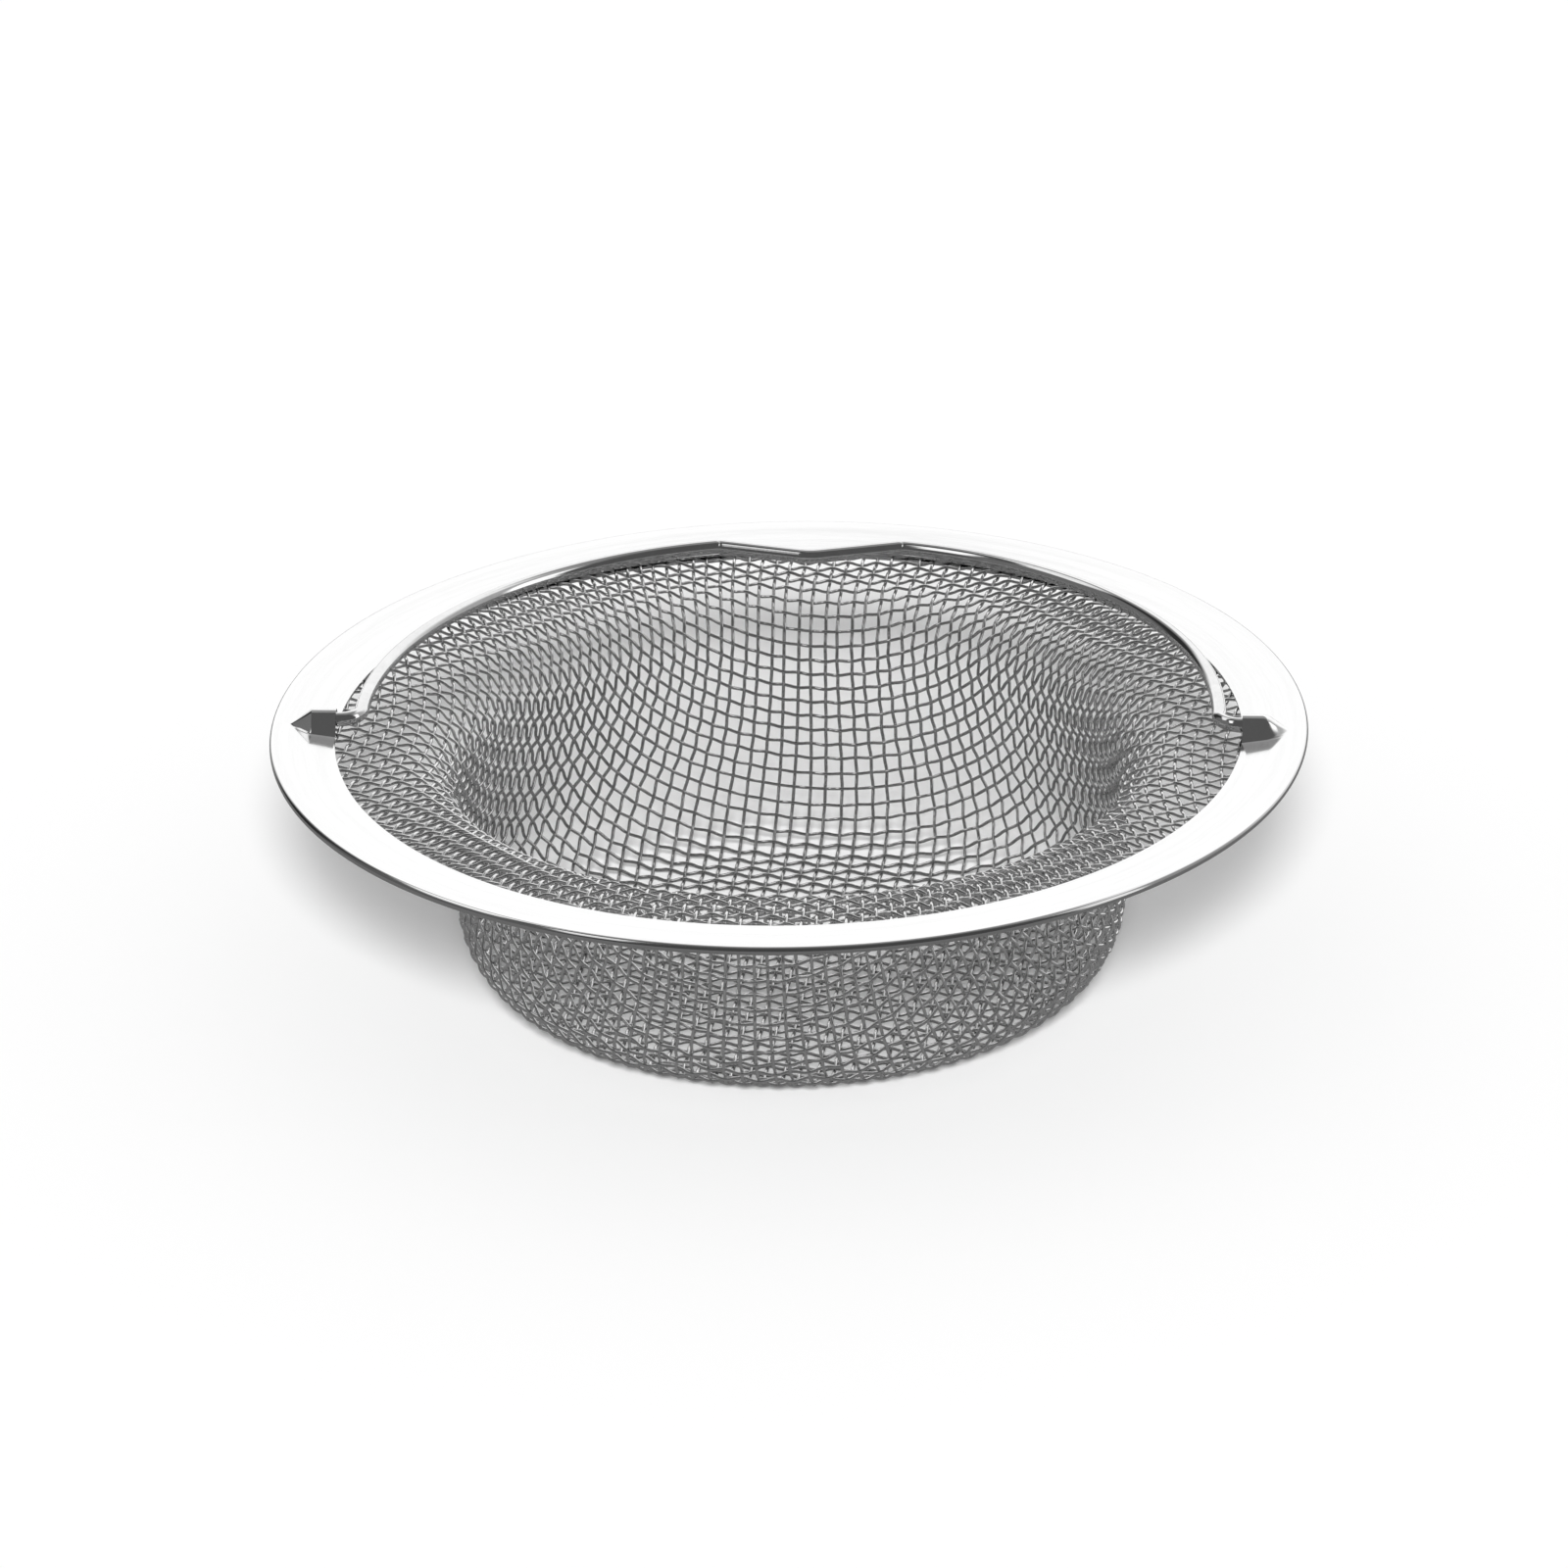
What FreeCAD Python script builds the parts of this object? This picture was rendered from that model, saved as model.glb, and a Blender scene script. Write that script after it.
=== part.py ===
import FreeCAD, Part
import math
import os

# Kitchen sink strainer: a basket of woven wire cloth, clamped in a dished steel rim, with a wire bail.
# Millimetres. +Z is up, the basket stands on Z = 0, and the bail's hinge line lies along X.

# Overall
rim_outer_diameter = 114.0
rim_height = 29.8

# Rim: an upper ring with a hemmed outer edge, and an under ring that clamps the cloth against it
rim_width = 7.2
rim_dish_angle = 6.0
sheet_thickness = 0.3
under_sheet_thickness = 0.3
clamp_clearance = 0.03
hem_width = 1.3
hem_gap = 0.2
joggle_width = 0.5
under_ring_inset = 0.4

# Woven cloth basket
cloth_wire_diameter = 0.37
crushed_cloth_thickness = 0.45
crush_taper_length = 0.6
brim_width = 12.8
brim_bend_radius = 6.5
floor_fillet_radius = 9.8

# Grid of openings cut in the basket, coarser than the cloth's own mesh
grid_pitch = 9.0
grid_bar_width = 1.9
grid_most_sectors = 24

# Bail handle
bail_wire_diameter = 1.6
bail_inset = 2.6
bail_arc_offset = 2.2
bail_bend_radius = 2.4
bail_dip_width = 20.8
bail_dip_depth = 2.8
bail_shoulder_radius = 2.5
bail_dip_radius = 4.0
bail_seat_clearance = 0.39

# Hinge pockets, pressed up out of the upper ring
pocket_straight_length = 2.7
pocket_tip_length = 2.4
pocket_flank_angle = 25.0
pocket_running_clearance = 0.08
pocket_end_gap = 0.3

cut_overrun = 2.0

# Sizes that follow from those above
rim_outer_radius = rim_outer_diameter / 2
rim_inner_radius = rim_outer_radius - rim_width
hem_height = 2 * sheet_thickness + under_sheet_thickness + 2 * clamp_clearance
hem_radius = hem_height / 2
cloth_thickness = 2 * cloth_wire_diameter
cup_radius = rim_inner_radius - brim_width
bail_wire_radius = bail_wire_diameter / 2

dish = math.radians(rim_dish_angle)
leaf_length = (rim_width - hem_radius - hem_radius * math.sin(dish)) / math.cos(dish)
leaf_inner_height = rim_height - leaf_length * math.sin(dish) - hem_radius * (1 - math.cos(dish))

# Depths below the upper ring's top face
leaf_underside = -sheet_thickness
cloth_top = leaf_underside - clamp_clearance
cloth_underside = cloth_top - crushed_cloth_thickness
under_ring_top = cloth_underside - clamp_clearance

# Places along the rim's face, outwards from its inner edge
hem_start = leaf_length - hem_width
joggle_end = hem_start - hem_gap
joggle_start = joggle_end - joggle_width
pin_end = pocket_straight_length - pocket_end_gap


def point(radius, height):
    """A point of a turned section, in the XZ plane."""
    return FreeCAD.Vector(radius, 0, height)


def on_rim(along, above):
    """A point of the rim's section: along its dished face from the inner edge, and above that face."""
    radius = rim_inner_radius + along * math.cos(dish) - above * math.sin(dish)
    height = leaf_inner_height + along * math.sin(dish) + above * math.cos(dish)
    return point(radius, height)


def on_circle(centre, radius, angle):
    """A point on a circle in the XZ plane, at an angle in degrees from the outward direction."""
    turn = math.radians(angle)
    return centre + FreeCAD.Vector(radius * math.cos(turn), 0, radius * math.sin(turn))


def line(start, end):
    return Part.LineSegment(start, end).toShape()


def arc(start, middle, end):
    return Part.Arc(start, middle, end).toShape()


def turned(edges, angle=360):
    """A solid turned about Z from a closed section."""
    section = Part.Face(Part.Wire(Part.__sortEdges__(edges)))
    return section.revolve(FreeCAD.Vector(0, 0, 0), FreeCAD.Vector(0, 0, 1), angle)


def closed_outline(points):
    """The straight edges of a closed outline."""
    return [line(start, end) for start, end in zip(points, points[1:] + points[:1])]


def mirrored_in_x(shape):
    return shape.mirror(FreeCAD.Vector(0, 0, 0), FreeCAD.Vector(1, 0, 0))


# Hinge line: the bail's pins lie a little above the clamped cloth, inside the pockets
hinge_height = on_rim(pin_end, cloth_top).z + bail_seat_clearance + bail_wire_radius


def pocket_section(bore_radius, place):
    """An arch round the hinge line with flared flanks, as a face across X."""
    flare = math.radians(pocket_flank_angle)
    base_height = on_rim(0, leaf_underside).z - cut_overrun
    shoulder_width = bore_radius * math.cos(flare)
    shoulder_height = hinge_height + bore_radius * math.sin(flare)
    base_width = shoulder_width + (shoulder_height - base_height) * math.tan(flare)
    base_right = FreeCAD.Vector(place, base_width, base_height)
    base_left = FreeCAD.Vector(place, -base_width, base_height)
    right = FreeCAD.Vector(place, shoulder_width, shoulder_height)
    left = FreeCAD.Vector(place, -shoulder_width, shoulder_height)
    crown = FreeCAD.Vector(place, 0, hinge_height + bore_radius)
    return Part.Face(Part.Wire([
        line(base_left, base_right),
        line(base_right, right),
        arc(right, crown, left),
        line(left, base_left),
    ]))


def pocket_body(bore_radius, mouth, tip_length, floor_depth):
    """A bullet shape along X: an arched run and a tip that falls to the rim's face, cut off below."""
    shoulder = rim_inner_radius + pocket_straight_length
    run = pocket_section(bore_radius, mouth).extrude(FreeCAD.Vector(shoulder - mouth, 0, 0))
    tip_along = (pocket_straight_length + tip_length) / math.cos(dish)
    tip = Part.Vertex(on_rim(tip_along, 0))
    nose = Part.makeLoft([pocket_section(bore_radius, shoulder).OuterWire, tip], True)
    room = turned(closed_outline([
        on_rim(-cut_overrun, floor_depth),
        on_rim(leaf_length, floor_depth),
        on_rim(leaf_length, rim_width),
        on_rim(-cut_overrun, rim_width),
    ]))
    return run.fuse(nose).common(room)


def rim_top_ring():
    """The polished upper ring: a dished leaf, a hemmed outer edge and two hinge pockets."""
    hem_centre = on_rim(leaf_length, -hem_radius)
    top_angle = 90 + rim_dish_angle
    hem_middle_angle = rim_dish_angle
    hem_bore = hem_radius - sheet_thickness
    inner_top = on_rim(0, 0)
    inner_low = on_rim(0, leaf_underside)
    outer_top = on_rim(leaf_length, 0)
    outer_low = on_rim(leaf_length, -hem_height)
    bore_top = on_rim(leaf_length, leaf_underside)
    bore_low = on_rim(leaf_length, -hem_height + sheet_thickness)
    lip_low = on_rim(hem_start, -hem_height)
    lip_top = on_rim(hem_start, -hem_height + sheet_thickness)
    ring = turned([
        line(inner_low, inner_top),
        line(inner_top, outer_top),
        arc(outer_top, on_circle(hem_centre, hem_radius, hem_middle_angle), outer_low),
        line(outer_low, lip_low),
        line(lip_low, lip_top),
        line(lip_top, bore_low),
        arc(bore_low, on_circle(hem_centre, hem_bore, hem_middle_angle), bore_top),
        line(bore_top, inner_low),
    ])
    bore_radius = bail_wire_radius + pocket_running_clearance
    crown_radius = bore_radius + sheet_thickness
    bore_tip_length = pocket_tip_length * bore_radius / crown_radius
    hull = pocket_body(crown_radius, rim_inner_radius, pocket_tip_length, leaf_underside / 2)
    bore_mouth = rim_inner_radius - cut_overrun
    bore = pocket_body(bore_radius, bore_mouth, bore_tip_length, leaf_underside - clamp_clearance)
    pressed = ring.fuse([hull, mirrored_in_x(hull)])
    return pressed.cut([bore, mirrored_in_x(bore)]).removeSplitter()


def rim_under_ring():
    """The lower ring: it clamps the cloth from below, and its joggled edge is caught in the upper hem."""
    slant = joggle_width / 2
    tongue_top = leaf_underside - clamp_clearance
    tongue_low = tongue_top - under_sheet_thickness
    under_ring_low = under_ring_top - under_sheet_thickness
    return turned(closed_outline([
        on_rim(under_ring_inset, under_ring_top),
        on_rim(joggle_start, under_ring_top),
        on_rim(joggle_end - slant, tongue_top),
        on_rim(leaf_length, tongue_top),
        on_rim(leaf_length, tongue_low),
        on_rim(joggle_end, tongue_low),
        on_rim(joggle_start + slant, under_ring_low),
        on_rim(under_ring_inset, under_ring_low),
    ]))


# Where the basket's section turns: from the floor up into the wall, and out into the brim
brim_top = on_rim(0, cloth_top).z
brim_low = brim_top - cloth_thickness
crush_start = on_rim(0, cloth_underside)
crush_end = point(crush_start.x - crush_taper_length, brim_low)
fillet_centre = point(cup_radius - floor_fillet_radius, floor_fillet_radius)
bend_centre = point(cup_radius + brim_bend_radius, brim_low - brim_bend_radius)


# Each stretch of that section gives a point at a share of its run and a depth in from the outer face
def on_floor(share, depth):
    return point(share * fillet_centre.x, depth)


def on_fillet(share, depth):
    return on_circle(fillet_centre, floor_fillet_radius - depth, 90 * share - 90)


def on_wall(share, depth):
    return point(cup_radius - depth, fillet_centre.z + share * (bend_centre.z - fillet_centre.z))


def on_bend(share, depth):
    return on_circle(bend_centre, brim_bend_radius + depth, 180 - 90 * share)


def on_brim(share, depth):
    return point(bend_centre.x + share * (crush_end.x - bend_centre.x), brim_low + depth)


def edge_along(stretch, start, end, depth):
    """The edge along a stretch between two shares of its run."""
    first = stretch(start, depth)
    middle = stretch((start + end) / 2, depth)
    last = stretch(end, depth)
    if stretch in (on_fillet, on_bend):
        return arc(first, middle, last)
    return line(first, last)


def grid_rows(stretch):
    """The shares of a stretch where its rows of openings start and end, with bars beside them."""
    length = edge_along(stretch, 0, 1, cloth_thickness / 2).Length
    rows = max(1, round(length / grid_pitch))
    if length / rows < 2 * grid_bar_width:
        return []
    half_bar_share = grid_bar_width / 2 / length
    return [(row / rows + half_bar_share, (row + 1) / rows - half_bar_share) for row in range(rows)]


def edges_by_row(stretch, depth):
    """The edges along a stretch, split where its rows of openings start and end."""
    shares = [0] + [share for row in grid_rows(stretch) for share in row] + [1]
    return [edge_along(stretch, start, end, depth) for start, end in zip(shares, shares[1:])]


def grid_openings(stretch):
    """Rows of openings through a stretch of the basket."""
    outside = -cut_overrun
    inside = cloth_thickness + cut_overrun
    openings = []
    for start, end in grid_rows(stretch):
        section = [
            edge_along(stretch, start, end, outside),
            line(stretch(end, outside), stretch(end, inside)),
            edge_along(stretch, start, end, inside),
            line(stretch(start, inside), stretch(start, outside)),
        ]
        radius = stretch((start + end) / 2, cloth_thickness / 2).x
        quarter_sectors = max(1, round(math.pi / 2 * radius / grid_pitch))
        sectors = min(4 * quarter_sectors, grid_most_sectors)
        sector_angle = 360 / sectors
        bar_angle = math.degrees(grid_bar_width / radius)
        opening = turned(section, sector_angle - bar_angle)
        for sector in range(sectors):
            turn = sector * sector_angle + bar_angle / 2
            openings.append(opening.rotated(FreeCAD.Vector(0, 0, 0), FreeCAD.Vector(0, 0, 1), turn))
    return openings


def mesh_basket():
    """The wire cloth as one shell with a grid of openings: a flange, a brim, a bend, a wall and a floor."""
    flange_top = on_rim(joggle_start, cloth_top)
    flange_low = on_rim(joggle_start, cloth_underside)
    edge_top = on_rim(0, cloth_top)
    cup = [on_floor, on_fillet, on_wall, on_bend]
    shell = turned(
        [edge for stretch in cup for edge in edges_by_row(stretch, 0)]
        + [
            line(on_brim(0, 0), crush_end),
            line(crush_end, crush_start),
            line(crush_start, flange_low),
            line(flange_low, flange_top),
            line(flange_top, edge_top),
            line(edge_top, on_brim(0, cloth_thickness)),
        ]
        + [edge for stretch in cup for edge in edges_by_row(stretch, cloth_thickness)]
        + [line(on_floor(0, cloth_thickness), on_floor(0, 0))]
    )
    openings = [opening for stretch in cup + [on_brim] for opening in grid_openings(stretch)]
    return shell.cut(openings).removeSplitter()


def bail_path():
    """The bail's centre line at the hinge's height: a pin, a bend, an arc and half the dip, mirrored."""

    def flat(across, back):
        return FreeCAD.Vector(across, back, hinge_height)

    def round_point(centre, radius, direction):
        turn = math.radians(direction)
        return centre + FreeCAD.Vector(radius * math.cos(turn), radius * math.sin(turn), 0)

    arc_radius = rim_inner_radius - bail_inset
    arc_centre = flat(0, bail_arc_offset)

    # The outward bend touches the arc from outside and ends on the hinge line
    bend_drop = bail_bend_radius - bail_arc_offset
    bend_reach = math.sqrt((arc_radius + bail_bend_radius) ** 2 - bend_drop ** 2)
    bend_centre = flat(bend_reach, bail_bend_radius)
    bend_direction = math.degrees(math.atan2(bend_drop, bend_reach))
    pin_start = flat(bend_reach, 0)
    pin_tip = flat(rim_inner_radius + pin_end, 0)
    bend_end = round_point(arc_centre, arc_radius, bend_direction)
    bend_middle = round_point(bend_centre, bail_bend_radius, (270 + 180 + bend_direction) / 2)

    # The dip's straight flank runs from its lowest point up to a shoulder that blends into the arc
    half_width = bail_dip_width / 2
    shoulder_back = math.sqrt(arc_radius ** 2 - half_width ** 2)
    flank = math.atan2(bail_dip_depth, half_width)
    dip_back = shoulder_back - bail_dip_depth
    toe_back = dip_back - bail_shoulder_radius * math.cos(flank)
    toe = FreeCAD.Vector(bail_shoulder_radius * math.sin(flank), toe_back, 0)
    reach = toe.x * math.cos(flank) + toe.y * math.sin(flank)
    spare = toe.x ** 2 + toe.y ** 2 - (arc_radius - bail_shoulder_radius) ** 2
    flank_length = -reach + math.sqrt(reach ** 2 - spare)
    shoulder_centre = arc_centre + toe + FreeCAD.Vector(
        flank_length * math.cos(flank), flank_length * math.sin(flank), 0)
    shoulder_direction = math.degrees(math.atan2(shoulder_centre.y - arc_centre.y, shoulder_centre.x))
    flank_direction = 90 + math.degrees(flank)
    shoulder_start = round_point(shoulder_centre, bail_shoulder_radius, shoulder_direction)
    shoulder_middle = round_point(
        shoulder_centre, bail_shoulder_radius, (shoulder_direction + flank_direction) / 2)
    shoulder_end = round_point(shoulder_centre, bail_shoulder_radius, flank_direction)
    arc_middle = round_point(arc_centre, arc_radius, (bend_direction + shoulder_direction) / 2)

    dip_centre = arc_centre + FreeCAD.Vector(0, dip_back + bail_dip_radius / math.cos(flank), 0)
    dip_start = round_point(dip_centre, bail_dip_radius, 270 + math.degrees(flank))
    dip_middle = round_point(dip_centre, bail_dip_radius, 270)
    dip_end = FreeCAD.Vector(-dip_start.x, dip_start.y, dip_start.z)

    half = [
        line(pin_tip, pin_start),
        arc(pin_start, bend_middle, bend_end),
        arc(bend_end, arc_middle, shoulder_start),
        arc(shoulder_start, shoulder_middle, shoulder_end),
        line(shoulder_end, dip_start),
    ]
    other_half = [mirrored_in_x(edge) for edge in half]
    edges = half + [arc(dip_start, dip_middle, dip_end)] + other_half
    return Part.Wire(Part.__sortEdges__(edges)), pin_tip


def bail_handle():
    """One round wire, bent into a bow with a finger dip at its middle and a pin at each end."""
    path, pin_tip = bail_path()
    ring = Part.Wire(Part.makeCircle(bail_wire_radius, pin_tip, FreeCAD.Vector(-1, 0, 0)))
    sweep = Part.BRepOffsetAPI.MakePipeShell(path)
    sweep.add(ring)
    sweep.build()
    sweep.makeSolid()
    swept_volume = Part.Face(ring).Area * path.Length
    print("bail: volume over section times length", sweep.shape().Volume / swept_volume)
    return sweep.shape()


os.makedirs("parts", exist_ok=True)
nodes = {
    "rim_top_ring": rim_top_ring(),
    "rim_under_ring": rim_under_ring(),
    "mesh_basket": mesh_basket(),
    "bail_handle": bail_handle(),
}
for name, shape in nodes.items():
    shape.exportStep("parts/" + name + ".step")
    print(name, "valid", shape.isValid(), "solids", len(shape.Solids), "volume", round(shape.Volume, 2))
print("hinge height", hinge_height, "bail wire radius", bail_wire_radius, "cup radius", cup_radius)
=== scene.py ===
"""A kitchen sink strainer: a cup of woven wire cloth, clamped in a polished rim, with a hinged wire bail."""
import math

import bmesh
import bpy
import numpy as np
from mathutils import Matrix, Quaternion, Vector


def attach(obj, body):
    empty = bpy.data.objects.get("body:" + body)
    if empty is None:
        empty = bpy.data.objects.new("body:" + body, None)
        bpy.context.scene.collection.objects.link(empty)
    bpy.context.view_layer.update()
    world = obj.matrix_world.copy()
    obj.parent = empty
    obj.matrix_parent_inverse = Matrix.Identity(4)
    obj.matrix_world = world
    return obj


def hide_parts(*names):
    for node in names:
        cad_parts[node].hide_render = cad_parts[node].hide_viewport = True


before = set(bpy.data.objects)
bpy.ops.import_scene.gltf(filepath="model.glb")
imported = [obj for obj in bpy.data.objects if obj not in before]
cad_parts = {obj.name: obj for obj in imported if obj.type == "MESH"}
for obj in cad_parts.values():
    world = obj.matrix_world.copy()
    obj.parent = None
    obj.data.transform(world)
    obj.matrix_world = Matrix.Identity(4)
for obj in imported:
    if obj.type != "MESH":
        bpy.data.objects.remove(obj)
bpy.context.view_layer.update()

MM = 0.001

# Sizes of the wire cloth, in millimetres
wire_diameter = 0.37
wires_per_inch = 15
wire_pitch = 25.4 / wires_per_inch
cloth_thickness = 2 * wire_diameter
cup_radius = 37.0
floor_fillet_radius = 9.8
brim_bend_radius = 6.5
brim_top = 28.768
cloth_turn = math.radians(3.24)
profile_arc_points = 200
profile_points = 2000

# The cloth's clamped edge, in millimetres
crush_start_radius = 49.2
crush_end_radius = 50.2
crushed_middle = 28.56
cloth_edge_radius = 51.2
clamp_slope = math.tan(math.radians(6))
crushed_crimp_share = 0.2

# How the cloth is pressed into the cup
wires_each_side = 46
press_steps = 800
first_stiffness_share = 0.5
last_stiffness_share = 0.3
least_diagonal_share = 0.3
least_length = 1e-9

# How finely the wires are drawn
segments_per_crossing = 4
wire_sides = 8
bail_sides = 24
strips_each_way = 3

# The rim's upper ring of sheet, in millimetres
rim_inner_radius = 49.8
rim_inner_height = 29.096
rim_dish = math.radians(6)
rim_face_width = 6.7066
sheet_thickness = 0.3
hem_radius = 0.48
hem_width = 1.3
sheet_edge_round = 0.06
sheet_edge_middle_share = 0.3
# Painted shade: between these radii the tone falls to a share, a dark line painted on the rolled outer edge
painted_shade_start_radius = 56.75
painted_shade_full_radius = 56.9
edge_painted_shade_share = 0.62

# How finely the rim's sheet is drawn; rows lie in millimetres along its face from its inner edge
first_row = 0.3
last_plain_row = 2.1
plain_rows = 7
first_crease_row = 2.2
crease_rows = 7
pocket_tip_rows = 30
hem_points = 17
hem_bore_points = 9
pocket_sector_steps = 96
plain_sector_steps = 140
merge_distance = 1e-4
sharp_edge_angle = math.radians(14)

# The pockets pressed up out of it for the bail's pins, in millimetres
hinge_height = 30.209
pocket_arch_radius = 1.18
pocket_bore_radius = 0.88
pocket_straight = 2.7
pocket_tip = 2.4
pocket_flank = math.radians(40)
pocket_base_round = 0.3
pocket_tip_round = 0.06
pocket_shoulder_rounds = {"left": 0.0, "right": 0.5}
pocket_shoulder_reach = 1.6
pocket_plan_powers = {"left": 1.2, "right": 1.6}
pocket_sector = math.radians(8)

# The bail, in millimetres
bail_wire_radius = 0.8
bail_arc_radius = 47.2
bail_arc_offset = 2.2
bail_bend_radius = 2.4
bail_pin_end = 52.2
bail_dip_half_width = 10.4
bail_dip_depth = 2.8
bail_shoulder_radius = 2.5
bail_dip_radius = 4.0
nick_share = 0.06
nick_half_length = 0.16
bail_bend_steps = 14
bail_arc_steps = 72
bail_shoulder_steps = 12
bail_dip_steps = 8

# The camera, from the photograph's ellipses: lens and sensor in millimetres, other lengths in metres
camera_azimuth = math.radians(3.36)
camera_elevation = math.radians(24.33)
camera_roll = math.radians(-1.03)
camera_distance = 1.254
camera_lens = 262.2
camera_sensor = 36.0
photo_side = 1600
rim_centre_pixel = (804.7, 740.3)
rim_top = 0.0298
camera_near = 0.01
camera_far = 100

# The steels' grain and wear: the stretch is the length, in metres, that a radian round the rim counts as
grain_detail = 3.0
cloud_detail = 2.0
noise_roughness = 0.55
noise_range = (0.25, 0.75)
polish_stretch = 0.002
grain_share = 0.4
cloud_share = 0.6

# The studio as the metal mirrors it: the brightness of its parts
dark_room = 0.09
dark_gap = 0.03
backdrop_level = 1.0
ceiling_level = 0.2
right_wall_level = 0.34
left_wall_level = 0.07
strip_level = 1.1
left_bank_level = 0.9

# Between which bearings its parts fade in, in degrees to the right of straight away from the camera
backdrop_left_fade = (-44, -28)
backdrop_right_fade = (75, 38)
right_wall_start_fade = (38, 75)
right_wall_end_fade = (112, 84)
left_wall_start_fade = (-58, -70)
left_wall_end_fade = (-140, -125)
gap_start_fade = (-70, -58)
gap_end_fade = (-28, -44)

# Between which heights they fade in, going down, by the upward part of a direction of length 1
backdrop_slant = 0.45
backdrop_top_fade = (0.72, 0.6)
ceiling_top_fade = (0.997, 0.97)
right_wall_top_fade = (0.96, 0.82)
left_wall_top_fade = (0.8, 0.6)

# Its long soft lights: both ends, in degrees to the right and above the horizon, and half the width
right_strip_ends = ((106, -2), (98, 42))
right_strip_half_width = math.radians(8)
left_strip_ends = ((-136, 38), (-104, 66))
left_strip_half_width = math.radians(6)
left_bank_ends = ((-88, 46), (-32, 53))
left_bank_half_width = math.radians(7)
strip_soft_share = 0.3

# The floor and the light on it; lengths in metres
floor_light = 0.42
sun_elevation = math.radians(32)
sun_strength = 3.7
sun_softness = math.radians(12)
floor_white = 0.96
# Painted reflection: the floor's grey as glossy rays see it
floor_in_metal = 0.22
floor_half_side = 4
floor_drop = 0.00005


def cloth_profile():
    """Arc length, radius, height and slope of the cloth's middle surface, from the axis outwards"""
    half = cloth_thickness / 2
    fillet_radius = floor_fillet_radius - half
    bend_radius = brim_bend_radius + half
    fillet_centre = (cup_radius - floor_fillet_radius, floor_fillet_radius)
    bend_centre = (cup_radius + brim_bend_radius, brim_top - cloth_thickness - brim_bend_radius)
    quarter = np.linspace(0, math.pi / 2, profile_arc_points)
    floor = [(0, half)]
    fillet = np.c_[fillet_centre[0] + fillet_radius * np.sin(quarter),
                   fillet_centre[1] - fillet_radius * np.cos(quarter)]
    bend = np.c_[bend_centre[0] - bend_radius * np.cos(quarter),
                 bend_centre[1] + bend_radius * np.sin(quarter)]
    brim = [(wires_each_side * wire_pitch, brim_top - half)]
    corners = np.vstack([floor, fillet, bend, brim])
    corner_lengths = np.r_[0, np.cumsum(np.hypot(*np.diff(corners, axis=0).T))]
    length = np.linspace(0, corner_lengths[-1], profile_points)
    radius = np.interp(length, corner_lengths, corners[:, 0])
    height = np.interp(length, corner_lengths, corners[:, 1])
    slope = np.arctan2(np.gradient(height, length), np.gradient(radius, length))
    return length, radius, height, slope


class CupSurface:
    """The surface of revolution that the cloth is pressed onto"""

    def __init__(self):
        self.length, self.radius, self.height, self.slope = cloth_profile()

    def points(self, along, angle):
        radius = np.interp(along, self.length, self.radius)
        height = np.interp(along, self.length, self.height)
        return np.stack([radius * np.cos(angle), radius * np.sin(angle), height], -1)

    def normals(self, along, angle):
        slope = np.interp(along, self.length, self.slope)
        return np.stack([-np.sin(slope) * np.cos(angle), -np.sin(slope) * np.sin(angle), np.cos(slope)], -1)

    def nearest(self, points, along):
        """Brings points that have left the surface back to it, near where they were"""
        angle = np.arctan2(points[..., 1], points[..., 0])
        slope = np.interp(along, self.length, self.slope)
        outwards = np.hypot(points[..., 0], points[..., 1]) - np.interp(along, self.length, self.radius)
        upwards = points[..., 2] - np.interp(along, self.length, self.height)
        along = along + outwards * np.cos(slope) + upwards * np.sin(slope)
        along = np.clip(along, 0, self.length[-1])
        return along, angle


def straighten(net, live, share):
    """Moves each crossing towards the middle of its two neighbours on the same wire"""
    between = live[:-2] & live[1:-1] & live[2:]
    pull = (net[:-2] + net[2:]) / 2 - net[1:-1]
    net[1:-1] += share * between[..., None] * pull


def set_apart(net, live, first, second, distance, only_push):
    """Moves pairs of crossings along the line between them until they are a distance apart"""
    gap = net[second] - net[first]
    length = np.linalg.norm(gap, axis=-1)
    excess = length - distance
    if only_push:
        excess = np.minimum(excess, 0)
    both = live[first] & live[second]
    move = (both * excess / np.maximum(length, least_length) / 2)[..., None] * gap
    net[first] += move
    net[second] -= move


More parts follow.
